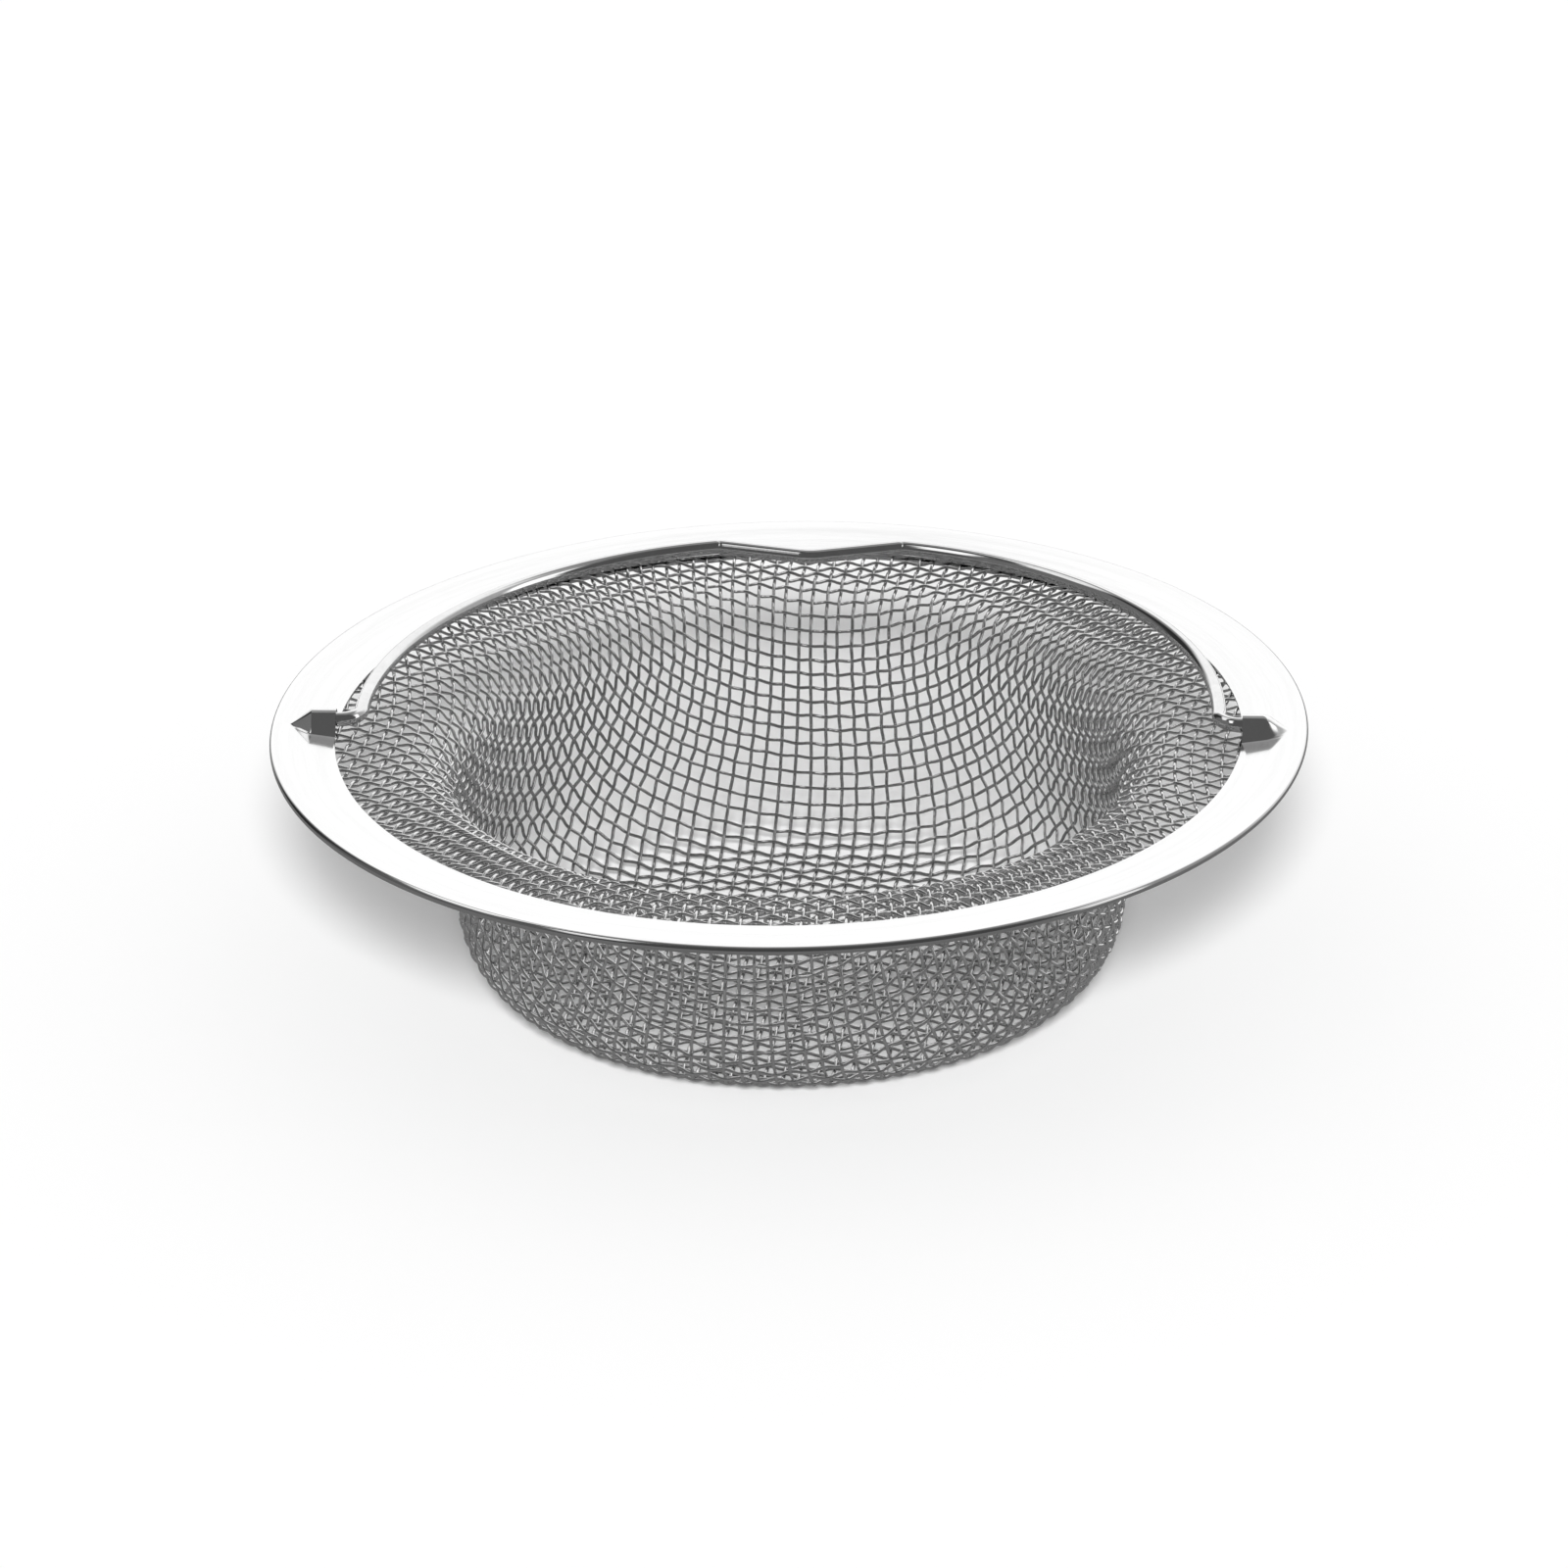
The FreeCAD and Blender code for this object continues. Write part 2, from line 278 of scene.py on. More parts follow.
def press_cloth(cup):
    """Presses a flat square net into the cup: wires keep their length, and the cells shear instead"""
    count = np.arange(-wires_each_side, wires_each_side + 1)
    flat_x, flat_y = np.meshgrid(count * wire_pitch, count * wire_pitch, indexing="ij")
    along = np.hypot(flat_x, flat_y)
    live = along < wires_each_side * wire_pitch
    along = np.minimum(along, cup.length[-1])

    # At first the wires keep their spacing near each main direction and close up towards the diagonals
    flat_angle = np.arctan2(flat_y, flat_x)
    main_angle = np.round(flat_angle / (math.pi / 2)) * math.pi / 2
    share = (flat_angle - main_angle) / (math.pi / 4)
    cup_radii = np.interp(along, cup.length, cup.radius)
    narrowing = np.maximum(along, least_length) / np.maximum(cup_radii, least_length)
    share = share * narrowing / (1 + (narrowing - 1) * np.abs(share))
    angle = main_angle + share * math.pi / 4

    size = len(count)
    every = slice(None)
    wire_pairs = []
    cross_pairs = []
    for start in (0, 1):
        end = (size - 1 - start) // 2 * 2 + start
        near = slice(start, end, 2)
        far = slice(start + 1, end + 1, 2)
        wire_pairs.append(((near, every), (far, every)))
        wire_pairs.append(((every, near), (every, far)))
        cross_pairs.append(((near, slice(0, size - 1)), (far, slice(1, size))))
        cross_pairs.append(((near, slice(1, size)), (far, slice(0, size - 1))))

    net = cup.points(along, angle)
    for step in range(press_steps):
        done = step / (press_steps - 1)
        stiffness = first_stiffness_share * (last_stiffness_share / first_stiffness_share) ** done
        straighten(net, live, stiffness)
        straighten(net.swapaxes(0, 1), live.T, stiffness)
        along, angle = cup.nearest(net, along)
        net = cup.points(along, angle)
        for first, second in wire_pairs:
            set_apart(net, live, first, second, wire_pitch, False)
        for first, second in cross_pairs:
            set_apart(net, live, first, second, least_diagonal_share * wire_pitch, True)
        along, angle = cup.nearest(net, along)
        net = cup.points(along, angle)
    return net, cup.normals(along, angle), live


def crimped(net, normals, over):
    """Control points of the wires that run along the first index, raised and lowered at their crossings"""
    radius = np.hypot(net[..., 0], net[..., 1])
    crush = np.clip((radius - crush_start_radius) / (crush_end_radius - crush_start_radius), 0, 1)
    crush = crush * crush * (3 - 2 * crush)
    clamped_height = crushed_middle + clamp_slope * (radius - crush_end_radius)
    points = net.copy()
    points[..., 2] += crush * (clamped_height - points[..., 2])
    # A spline of order 3 swings half as far as its control points, and the crimp is half a wire each way
    swing = wire_diameter * (1 - (1 - crushed_crimp_share) * crush)
    return points + (over * swing)[..., None] * normals


def cut_at_edge(points, live):
    """The stretch of a wire inside the cloth's edge, ended on the edge itself"""
    radius = np.hypot(points[:, 0], points[:, 1])
    inside = np.flatnonzero(live & (radius < cloth_edge_radius))
    if len(inside) < 2:
        return None
    kept = list(points[inside[0]:inside[-1] + 1])
    ends = []
    for last, beyond in ((inside[0], inside[0] - 1), (inside[-1], inside[-1] + 1)):
        end = []
        if 0 <= beyond < len(points) and live[beyond]:
            share = (cloth_edge_radius - radius[last]) / max(radius[beyond] - radius[last], least_length)
            end = [points[last] + min(share, 1) * (points[beyond] - points[last])]
        ends.append(end)
    return np.array(ends[0] + kept + ends[1])


def add_piece(name, data, material, body, stands_for):
    """An object of the strainer, tied to its body and material slot, in place of a node of the CAD"""
    piece = bpy.data.objects.new(name, data)
    bpy.context.scene.collection.objects.link(piece)
    data.materials.append(material)
    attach(piece, body)
    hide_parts(stands_for)
    return piece


def round_wire(name, radius, sides):
    """A curve drawn as round wire"""
    curve = bpy.data.curves.new(name, "CURVE")
    curve.dimensions = "3D"
    curve.bevel_depth = radius * MM
    curve.bevel_resolution = (sides - 4) // 2
    curve.use_fill_caps = True
    return curve


def wire_strip(name, wires, material):
    """One curve object that holds neighbouring wires of one direction"""
    curve = round_wire(name, wire_diameter / 2, wire_sides)
    curve.resolution_u = segments_per_crossing
    for points in wires:
        spline = curve.splines.new("NURBS")
        spline.points.add(len(points) - 1)
        weighted = np.c_[points * MM, np.ones(len(points))]
        spline.points.foreach_set("co", weighted.astype(np.float32).ravel())
        spline.order_u = 3
        spline.use_endpoint_u = True
    add_piece(name, curve, material, "strainer", "mesh_basket")


def weave_basket(material):
    """The cup's wires, one by one, in strips of neighbouring wires"""
    net, normals, live = press_cloth(CupSurface())
    turn = np.array([[math.cos(cloth_turn), math.sin(cloth_turn), 0],
                     [-math.sin(cloth_turn), math.cos(cloth_turn), 0],
                     [0, 0, 1]])
    net = net @ turn.T
    normals = normals @ turn.T
    size = len(net)
    over = np.where(np.add.outer(np.arange(size), np.arange(size)) % 2 == 0, 1, -1)
    warp = crimped(net, normals, over).swapaxes(0, 1)
    weft = crimped(net, normals, -over)
    for way, wires, alive in (("warp", warp, live.T), ("weft", weft, live)):
        runs = [cut_at_edge(points, mask) for points, mask in zip(wires, alive)]
        runs = [run for run in runs if run is not None and len(run) > 3]
        for strip in range(strips_each_way):
            first = strip * len(runs) // strips_each_way
            last = (strip + 1) * len(runs) // strips_each_way
            wire_strip(f"{way}_wires_{strip + 1}", runs[first:last], material)


def on_rim(along, above):
    """A point of the rim's section: along its dished face from the inner edge, and above that face"""
    radius = rim_inner_radius + along * math.cos(rim_dish) - above * math.sin(rim_dish)
    height = rim_inner_height + along * math.sin(rim_dish) + above * math.cos(rim_dish)
    return Vector((radius, 0, height))


def rim_section():
    """The closed outline of the rim's sheet: its face, rolled hem, lip and underside"""
    hem_bore = hem_radius - sheet_thickness
    crease = pocket_straight / math.cos(rim_dish)
    pocket_end = (pocket_straight + pocket_tip) / math.cos(rim_dish)
    rows = [*np.linspace(first_row, last_plain_row, plain_rows),
            *np.linspace(first_crease_row, crease, crease_rows),
            *np.linspace(crease, pocket_end, pocket_tip_rows)[1:],
            rim_face_width]
    round_in = sheet_edge_round
    corner = sheet_edge_middle_share * round_in
    top = [(0, -round_in), (corner, -corner), (round_in, 0)]
    top += [(along, 0) for along in rows]
    hem = [(rim_face_width + hem_radius * math.sin(turn), hem_radius * (math.cos(turn) - 1))
           for turn in np.linspace(0, math.pi, hem_points)[1:]]
    lip_edge = rim_face_width - hem_width
    lip = [(lip_edge, -2 * hem_radius), (lip_edge, -2 * hem_radius + sheet_thickness)]
    bore = [(rim_face_width + hem_bore * math.sin(turn), hem_bore * math.cos(turn) - hem_radius)
            for turn in np.linspace(math.pi, 0, hem_bore_points)]
    underside = [(along, -sheet_thickness) for along in reversed(rows[:-1])]
    inner_edge = [(round_in, -sheet_thickness), (0, round_in - sheet_thickness)]
    return top + hem + lip + bore + underside + inner_edge


def rounded_rise(height, roundness):
    """A height above zero, with its foot rounded off"""
    if height >= roundness:
        return height
    if height <= -roundness:
        return 0
    return (height + roundness) ** 2 / (4 * roundness)


def pocket_share(out, across, side, tip_length):
    """How far along its tip a pocket is; its shoulder is rounder at the crown than at the foot"""
    shoulder_round = pocket_shoulder_rounds[side] * max(0, 1 - abs(across) / pocket_shoulder_reach)
    return rounded_rise(out - pocket_straight, shoulder_round) / tip_length


def pocket_height(share, across, side, arch_radius):
    """Height of a pocket at a share of its tip and a distance across from the hinge line"""
    if share >= 1:
        return -math.inf
    tip_height = rim_inner_height + (pocket_straight + pocket_tip) * math.tan(rim_dish)
    power = pocket_plan_powers[side]
    aside = abs(across) / (1 - share ** power) ** (1 / power)
    shoulder = arch_radius * math.cos(pocket_flank)
    if aside < shoulder:
        height = hinge_height + math.sqrt(arch_radius ** 2 - aside ** 2)
    else:
        shoulder_height = hinge_height + arch_radius * math.sin(pocket_flank)
        height = shoulder_height - (aside - shoulder) / math.tan(pocket_flank)
    return tip_height + (1 - share) * (height - tip_height)


def press_pockets(shape):
    """Lifts the sheet's two faces over the pins, near the inner edge on both ends of the hinge line"""
    bore_tip = pocket_tip * pocket_bore_radius / pocket_arch_radius
    for vertex in shape.verts:
        out = math.hypot(vertex.co.x, vertex.co.y) - rim_inner_radius
        up = vertex.co.z - rim_inner_height
        above = up * math.cos(rim_dish) - out * math.sin(rim_dish)
        past_tip = out > pocket_straight + pocket_tip
        beside = abs(vertex.co.y) > rim_inner_radius * math.sin(pocket_sector / 2)
        if past_tip or beside:
            continue
        side = "left" if vertex.co.x < 0 else "right"
        if above > -sheet_thickness / 2:
            share = pocket_share(out, vertex.co.y, side, pocket_tip)
            height = pocket_height(share, vertex.co.y, side, pocket_arch_radius)
        else:
            share = pocket_share(out, vertex.co.y, side, bore_tip)
            height = pocket_height(share, vertex.co.y, side, pocket_bore_radius)
        foot_round = pocket_base_round + min(share, 1) * (pocket_tip_round - pocket_base_round)
        vertex.co.z += rounded_rise(height - vertex.co.z, foot_round)


def turn_rim(material):
    """The rim's polished upper ring, spun in finer steps where the pockets are"""
    shape = bmesh.new()
    section = [shape.verts.new(on_rim(along, above)) for along, above in rim_section()]
    outline = [shape.edges.new(pair) for pair in zip(section, section[1:] + section[:1])]
    first_turn = Matrix.Rotation(-pocket_sector / 2, 3, "Z")
    bmesh.ops.rotate(shape, verts=section, cent=(0, 0, 0), matrix=first_turn)
    front = section + outline
    half_turn = ((pocket_sector, pocket_sector_steps), (math.pi - pocket_sector, plain_sector_steps))
    for angle, steps in half_turn + half_turn:
        spun = bmesh.ops.spin(shape, geom=front, cent=(0, 0, 0), axis=(0, 0, 1), angle=angle, steps=steps)
        front = spun["geom_last"]
    bmesh.ops.remove_doubles(shape, verts=shape.verts, dist=merge_distance)
    press_pockets(shape)
    bmesh.ops.recalc_face_normals(shape, faces=shape.faces)
    bmesh.ops.scale(shape, verts=shape.verts, vec=(MM, MM, MM))
    for face in shape.faces:
        face.smooth = True
    for edge in shape.edges:
        edge.smooth = edge.calc_face_angle(0) < sharp_edge_angle
    mesh = bpy.data.meshes.new("rim_top_sheet")
    shape.to_mesh(mesh)
    shape.free()
    add_piece("rim_top_sheet", mesh, material, "strainer", "rim_top_ring")


def arc_points(centre, radius, start, end, steps):
    """Points on an arc in the bail's plane, between two directions"""
    turns = np.linspace(start, end, steps + 1)
    return [Vector((centre[0] + radius * math.cos(turn), centre[1] + radius * math.sin(turn)))
            for turn in turns]


def half_bail_path():
    """Half of the bail's centre line, from its pin to the middle of the dip, and the place of its nick"""
    bend_drop = bail_bend_radius - bail_arc_offset
    bend_reach = math.sqrt((bail_arc_radius + bail_bend_radius) ** 2 - bend_drop ** 2)
    bend_direction = math.atan2(bend_drop, bend_reach)
    pin = [Vector((bail_pin_end, 0)), Vector(((bail_pin_end + bend_reach) / 2, 0))]
    bend = arc_points((bend_reach, bail_bend_radius), bail_bend_radius,
                      1.5 * math.pi, math.pi + bend_direction, bail_bend_steps)

    # The dip's straight flank blends into the arc by a shoulder that touches both
    shoulder_back = math.sqrt(bail_arc_radius ** 2 - bail_dip_half_width ** 2)
    flank = math.atan2(bail_dip_depth, bail_dip_half_width)
    along_flank = Vector((math.cos(flank), math.sin(flank)))
    dip_back = shoulder_back - bail_dip_depth
    toe = Vector((0, dip_back)) + bail_shoulder_radius * Vector((math.sin(flank), -math.cos(flank)))
    reach = toe.dot(along_flank)
    spare = toe.length_squared - (bail_arc_radius - bail_shoulder_radius) ** 2
    shoulder_centre = toe + along_flank * (math.sqrt(reach ** 2 - spare) - reach)
    shoulder_direction = math.atan2(shoulder_centre.y, shoulder_centre.x)
    shoulder_centre.y += bail_arc_offset
    flank_direction = math.pi / 2 + flank
    arc = arc_points((0, bail_arc_offset), bail_arc_radius,
                     bend_direction, shoulder_direction, bail_arc_steps)
    shoulder = arc_points(shoulder_centre, bail_shoulder_radius,
                          shoulder_direction, flank_direction, bail_shoulder_steps)
    dip_centre = (0, bail_arc_offset + dip_back + bail_dip_radius / math.cos(flank))
    dip = arc_points(dip_centre, bail_dip_radius, 1.5 * math.pi + flank, 1.5 * math.pi, bail_dip_steps)
    return pin + bend + arc[1:] + shoulder[1:] + dip, shoulder[len(shoulder) // 2]


def bend_bail(material):
    """The bail: one bright wire, nicked by the bending tool at the shoulders of its dip"""
    half, nick = half_bail_path()
    path = half + [Vector((-point.x, point.y)) for point in reversed(half[:-1])]
    curve = round_wire("bail_wire", bail_wire_radius, bail_sides)
    spline = curve.splines.new("POLY")
    spline.points.add(len(path) - 1)
    for point, place in zip(spline.points, path):
        point.co = (place.x * MM, place.y * MM, hinge_height * MM, 1)
        away = (Vector((abs(place.x), place.y)) - nick).length
        point.radius = 1 - nick_share * max(0, 1 - away / nick_half_length)
    add_piece("bail_wire", curve, material, "bail", "bail_handle")


def node(tree, kind, **settings):
    """A new node of a material, group or world, with its settings"""
    made = tree.nodes.new(kind)
    for name, value in settings.items():
        setattr(made, name, value)
    return made


def feed(tree, socket, value):
    """Sets a socket to a constant, or links it to another node's output"""
    if isinstance(value, (int, float, tuple)):
        socket.default_value = value
    else:
        tree.links.new(value, socket)


def calculate(tree, operation, first, second=0.0):
    """The result of a sum on two values"""
    made = node(tree, "ShaderNodeMath", operation=operation)
    feed(tree, made.inputs[0], first)
    feed(tree, made.inputs[1], second)
    return made.outputs[0]


def ramp(tree, value, low, high, start=0.0, end=1.0, kind="SMOOTHSTEP"):
    """A value that goes from start, where the given value is low, to end, where it is high"""
    made = node(tree, "ShaderNodeMapRange", interpolation_type=kind)
    amounts = {"Value": value, "From Min": low, "From Max": high, "To Min": start, "To Max": end}
    for name, amount in amounts.items():
        feed(tree, made.inputs[name], amount)
    return made.outputs["Result"]


def make_steel_grain():
    """A group shared by the steels: fine grain and soft clouds of wear over a surface"""
    group = bpy.data.node_groups.new("steel_grain", "ShaderNodeTree")
    face = group.interface
    face.new_socket("Vector", in_out="INPUT", socket_type="NodeSocketVector")
    face.new_socket("Grain Scale", in_out="INPUT", socket_type="NodeSocketFloat")
    face.new_socket("Cloud Scale", in_out="INPUT", socket_type="NodeSocketFloat")
    face.new_socket("Grain", in_out="OUTPUT", socket_type="NodeSocketFloat")
    face.new_socket("Clouds", in_out="OUTPUT", socket_type="NodeSocketFloat")
    come = node(group, "NodeGroupInput")
    go = node(group, "NodeGroupOutput")
    patterns = (("Grain Scale", grain_detail, "Grain"), ("Cloud Scale", cloud_detail, "Clouds"))
    for scale, detail, pattern in patterns:
        noise = node(group, "ShaderNodeTexNoise")
        noise.inputs["Detail"].default_value = detail
        noise.inputs["Roughness"].default_value = noise_roughness
        group.links.new(come.outputs["Vector"], noise.inputs["Vector"])
        group.links.new(come.outputs[scale], noise.inputs["Scale"])
        spread = ramp(group, noise.outputs["Fac"], *noise_range)
        group.links.new(spread, go.inputs[pattern])
    return group


def object_place(tree):
    """Coordinates of the piece itself"""
    return node(tree, "ShaderNodeTexCoord").outputs["Object"]


def round_the_rim(tree):
    """Coordinates that run round the rim, so that the grain follows the polishing wheel"""
    parts = node(tree, "ShaderNodeSeparateXYZ")
    tree.links.new(object_place(tree), parts.inputs[0])
    across, back, up = parts.outputs
    square = calculate(tree, "ADD", calculate(tree, "MULTIPLY", across, across),
                       calculate(tree, "MULTIPLY", back, back))
    turn = calculate(tree, "ARCTAN2", back, across)
    made = node(tree, "ShaderNodeCombineXYZ")
    tree.links.new(calculate(tree, "SQRT", square), made.inputs[0])
    tree.links.new(calculate(tree, "MULTIPLY", turn, polish_stretch), made.inputs[1])
    tree.links.new(up, made.inputs[2])
    return made.outputs[0]


def painted_edge_shade(tree):
    """Painted shade: a share of the tone that falls off on the rolled outer edge of the rim, a dark line
    painted into its colour
    """
    parts = node(tree, "ShaderNodeSeparateXYZ")
    tree.links.new(round_the_rim(tree), parts.inputs[0])
    radius = parts.outputs["X"]
    return ramp(tree, radius, painted_shade_start_radius * MM, painted_shade_full_radius * MM, 1.0, edge_painted_shade_share)


def steel(name, grain_group, grain_place, grain_scale, cloud_scale, tone, roughness, relief, shade=None):
    """A bright steel whose tone, polish and relief vary with its grain and wear; a painted shade can darken
    its tone
    """
    material = bpy.data.materials.new(name)
    material.use_nodes = True
    tree = material.node_tree
    shader = tree.nodes["Principled BSDF"]
    shader.inputs["Metallic"].default_value = 1.0
    grain = node(tree, "ShaderNodeGroup", node_tree=grain_group)
    tree.links.new(grain_place(tree), grain.inputs["Vector"])
    grain.inputs["Grain Scale"].default_value = grain_scale
    grain.inputs["Cloud Scale"].default_value = cloud_scale
    mixed = calculate(tree, "ADD", calculate(tree, "MULTIPLY", grain.outputs["Grain"], grain_share),
                      calculate(tree, "MULTIPLY", grain.outputs["Clouds"], cloud_share))
    grey = node(tree, "ShaderNodeCombineColor")
    level = ramp(tree, mixed, 0.0, 1.0, *tone, kind="LINEAR")
    # Where a painted shade is given, it darkens the tone by place
    if shade:
        level = calculate(tree, "MULTIPLY", level, shade(tree))
    for channel in grey.inputs:
        tree.links.new(level, channel)
    tree.links.new(grey.outputs[0], shader.inputs["Base Color"])
    tree.links.new(ramp(tree, mixed, 1.0, 0.0, *roughness, kind="LINEAR"), shader.inputs["Roughness"])
    bump = node(tree, "ShaderNodeBump")
    bump.inputs["Distance"].default_value = relief
    tree.links.new(grain.outputs["Grain"], bump.inputs["Height"])
    tree.links.new(bump.outputs[0], shader.inputs["Normal"])
    return material


def dress(node_name, material):
    """Gives a piece carried over from the CAD its material"""
    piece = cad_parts[node_name]
    piece.data.materials.clear()
    piece.data.materials.append(material)


def place_camera():
    """The photograph's camera, aimed at the middle of the rim"""
    camera = bpy.data.objects.new("camera", bpy.data.cameras.new("camera"))
    bpy.context.scene.collection.objects.link(camera)
    bpy.context.scene.camera = camera
    camera.data.sensor_width = camera_sensor
    camera.data.lens = camera_lens
    back = Vector((math.sin(camera_azimuth) * math.cos(camera_elevation),
                   -math.cos(camera_azimuth) * math.cos(camera_elevation),
                   math.sin(camera_elevation)))
    camera.location = Vector((0, 0, rim_top)) + back * camera_distance
    camera.rotation_mode = "QUATERNION"
    camera.rotation_quaternion = (-back).to_track_quat("-Z", "Y") @ Quaternion((0, 0, 1), camera_roll)
    camera.data.shift_x = (photo_side / 2 - rim_centre_pixel[0]) / photo_side
    camera.data.shift_y = (rim_centre_pixel[1] - photo_side / 2) / photo_side
    camera.data.clip_start = camera_near
    camera.data.clip_end = camera_far


def lay_floor():
    """A plain pale floor, painted grey for glossy rays so that the metal mirrors it as grey: a painted
    reflection
    """
    shape = bmesh.new()
    bmesh.ops.create_grid(shape, x_segments=1, y_segments=1, size=floor_half_side)
    mesh = bpy.data.meshes.new("floor")
    shape.to_mesh(mesh)
    shape.free()
    floor = bpy.data.objects.new("floor", mesh)
    bpy.context.scene.collection.objects.link(floor)
    floor.location.z = -floor_drop
    material = bpy.data.materials.new("pale_floor")
    material.use_nodes = True
    tree = material.node_tree
    shader = tree.nodes["Principled BSDF"]
    shader.inputs["Roughness"].default_value = 1.0
    shader.inputs["Specular IOR Level"].default_value = 0.0
    path = node(tree, "ShaderNodeLightPath")
    # Painted reflection: glossy rays see the floor in a darker grey than the camera does
    level = ramp(tree, path.outputs["Is Glossy Ray"], 0.0, 1.0, floor_white, floor_in_metal, kind="LINEAR")
    grey = node(tree, "ShaderNodeCombineColor")
    for channel in grey.inputs:
        tree.links.new(level, channel)
    tree.links.new(grey.outputs[0], shader.inputs["Base Color"])
    mesh.materials.append(material)


def facing(azimuth, elevation):
    """A direction, by degrees to the right of straight away from the camera and degrees above the horizon"""
    turn = math.radians(azimuth)
    lift = math.radians(elevation)
    return Vector((math.sin(turn) * math.cos(lift), math.cos(turn) * math.cos(lift), math.sin(lift)))


def towards(tree, direction, axis):
    """How far a direction goes along an axis"""
    dot = node(tree, "ShaderNodeVectorMath", operation="DOT_PRODUCT")
    tree.links.new(direction, dot.inputs[0])
    dot.inputs[1].default_value = axis
    return dot.outputs["Value"]


def strip_light(tree, direction, ends, half_width):
    """A mask of the long soft light between two directions"""
    first, last = [facing(*end) for end in ends]
    middle = (first + last).normalized()
    half_length = first.angle(last) / 2
    beside = calculate(tree, "ABSOLUTE", towards(tree, direction, first.cross(last).normalized()))
    outer_side = math.sin(half_width * (1 + strip_soft_share))
    inner_side = math.sin(half_width * (1 - strip_soft_share))
    wide = ramp(tree, beside, outer_side, inner_side)
    end = half_length + half_width
    long = ramp(tree, towards(tree, direction, middle), math.cos(end), math.cos(end - half_width))
    return both(tree, wide, long)


def both(tree, first, second):
    """A mask of what two masks share"""
    return calculate(tree, "MULTIPLY", first, second)


def between(tree, bearing, start_fade, end_fade):
    """A mask of the bearings between two fading edges"""
    start = ramp(tree, bearing, *[math.radians(angle) for angle in start_fade])
    end = ramp(tree, bearing, *[math.radians(angle) for angle in end_fade])
    return both(tree, start, end)


def studio_level(tree):
    """Brightness by direction: a dark room with a white backdrop, grey walls and long soft lights"""
    direction = node(tree, "ShaderNodeTexCoord").outputs["Generated"]
    parts = node(tree, "ShaderNodeSeparateXYZ")
    tree.links.new(direction, parts.inputs[0])
    right, away, up = parts.outputs
    bearing = calculate(tree, "ARCTAN2", right, away)

    # The backdrop's top edge is higher on the right, and the ceiling starts above it
    slanted_up = calculate(tree, "SUBTRACT", up, calculate(tree, "MULTIPLY", right, backdrop_slant))
    low = ramp(tree, slanted_up, *backdrop_top_fade)
    behind = between(tree, bearing, backdrop_left_fade, backdrop_right_fade)
    backdrop = both(tree, low, behind)
    below_top = ramp(tree, up, *ceiling_top_fade)
    ceiling = both(tree, calculate(tree, "SUBTRACT", below_top, low), behind)

    right_side = between(tree, bearing, right_wall_start_fade, right_wall_end_fade)
    right_wall = both(tree, ramp(tree, up, *right_wall_top_fade), right_side)
    left_side = between(tree, bearing, left_wall_start_fade, left_wall_end_fade)
    left_wall = both(tree, ramp(tree, up, *left_wall_top_fade), left_side)
    right_strip = strip_light(tree, direction, right_strip_ends, right_strip_half_width)
    left_strip = strip_light(tree, direction, left_strip_ends, left_strip_half_width)
    left_bank = strip_light(tree, direction, left_bank_ends, left_bank_half_width)

    # Between the backdrop and the left wall the room is darker still
    gap = between(tree, bearing, gap_start_fade, gap_end_fade)
    level = ramp(tree, gap, 0.0, 1.0, dark_room, dark_gap, kind="LINEAR")
    lit_parts = ((backdrop, backdrop_level), (ceiling, ceiling_level),
                 (right_wall, right_wall_level), (left_wall, left_wall_level),
                 (right_strip, strip_level), (left_strip, strip_level), (left_bank, left_bank_level))
    for mask, brightness in lit_parts:
        level = calculate(tree, "ADD", level, calculate(tree, "MULTIPLY", mask, brightness))
    return level


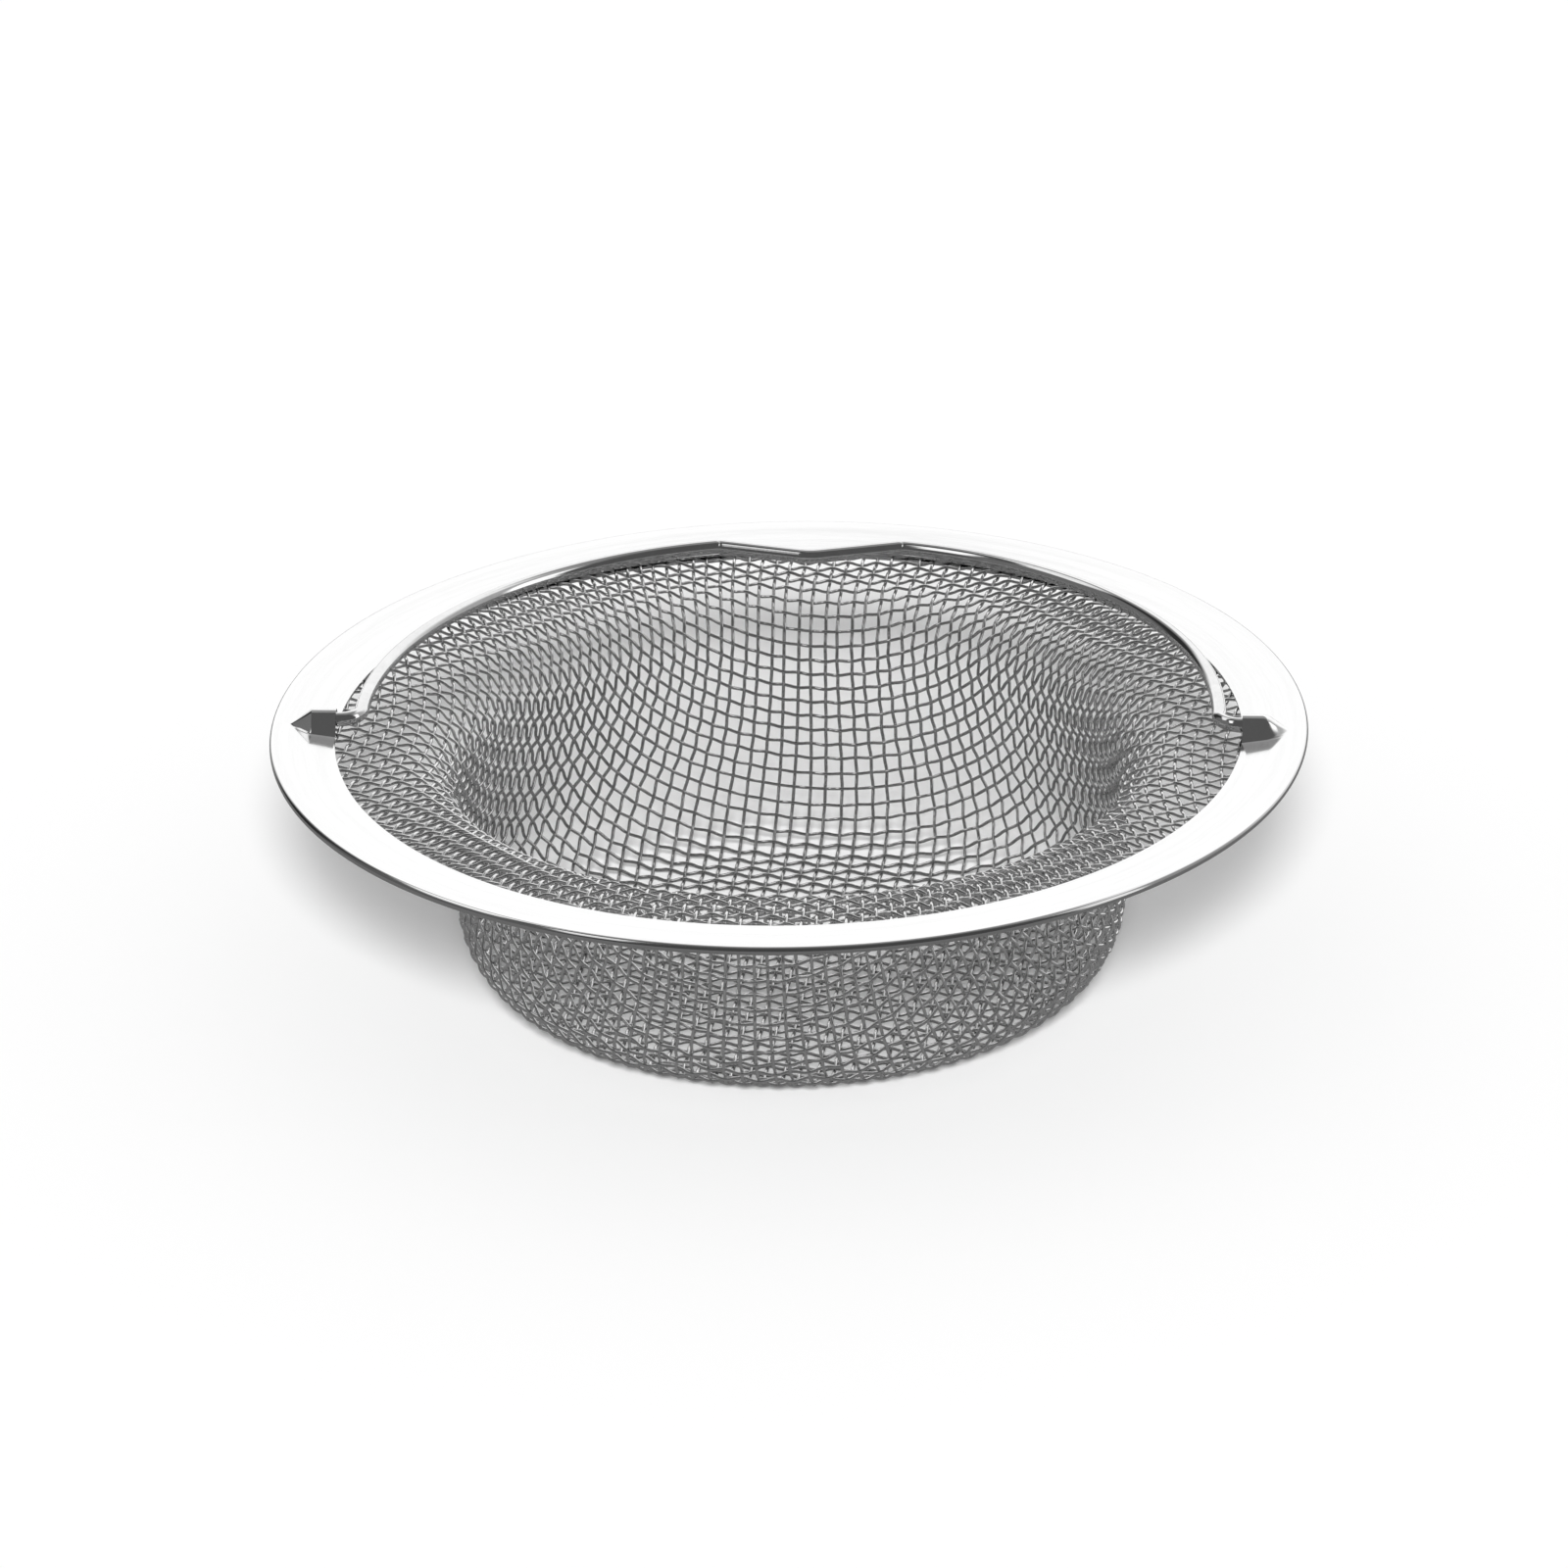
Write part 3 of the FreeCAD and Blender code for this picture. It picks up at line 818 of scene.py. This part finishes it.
def build_studio():
    """The world: the studio for the metal to mirror, plain light for the floor, and white for the camera"""
    world = bpy.data.worlds.new("studio")
    bpy.context.scene.world = world
    world.use_nodes = True
    tree = world.node_tree
    tree.nodes.clear()
    output = node(tree, "ShaderNodeOutputWorld")
    background = node(tree, "ShaderNodeBackground")
    background.inputs["Color"].default_value = (1, 1, 1, 1)
    tree.links.new(background.outputs[0], output.inputs["Surface"])
    path = node(tree, "ShaderNodeLightPath")
    diffuse = path.outputs["Is Diffuse Ray"]
    on_floor = ramp(tree, diffuse, 0.0, 1.0, studio_level(tree), floor_light, kind="LINEAR")
    seen = ramp(tree, path.outputs["Is Camera Ray"], 0.0, 1.0, on_floor, 1.0, kind="LINEAR")
    tree.links.new(seen, background.inputs["Strength"])


def light_floor():
    """A soft sun from the camera's side, for the floor and the shadow; the metal doesn't mirror it"""
    lamp = bpy.data.lights.new("front_light", "SUN")
    lamp.energy = sun_strength
    lamp.angle = sun_softness
    sun = bpy.data.objects.new("front_light", lamp)
    bpy.context.scene.collection.objects.link(sun)
    shine = Vector((-math.sin(camera_azimuth) * math.cos(sun_elevation),
                    math.cos(camera_azimuth) * math.cos(sun_elevation),
                    -math.sin(sun_elevation)))
    sun.rotation_mode = "QUATERNION"
    sun.rotation_quaternion = shine.to_track_quat("-Z", "Y")
    sun.visible_glossy = False


grain = make_steel_grain()
# The sheet's tone carries painted shade on the rim's rolled outer edge
sheet = steel("polished_sheet", grain, round_the_rim, grain_scale=9000, cloud_scale=900,
              tone=(0.88, 0.94), roughness=(0.08, 0.14), relief=1e-7, shade=painted_edge_shade)
cloth = steel("wire_cloth", grain, object_place, grain_scale=7000, cloud_scale=700,
              tone=(0.72, 0.86), roughness=(0.07, 0.13), relief=1e-6)
bright = steel("bright_wire", grain, object_place, grain_scale=5000, cloud_scale=500,
               tone=(0.76, 0.86), roughness=(0.05, 0.1), relief=5e-7)
turn_rim(sheet)
dress("rim_under_ring", sheet)
bend_bail(bright)
weave_basket(cloth)
place_camera()
lay_floor()
build_studio()
light_floor()
bpy.context.scene.view_settings.view_transform = "Standard"
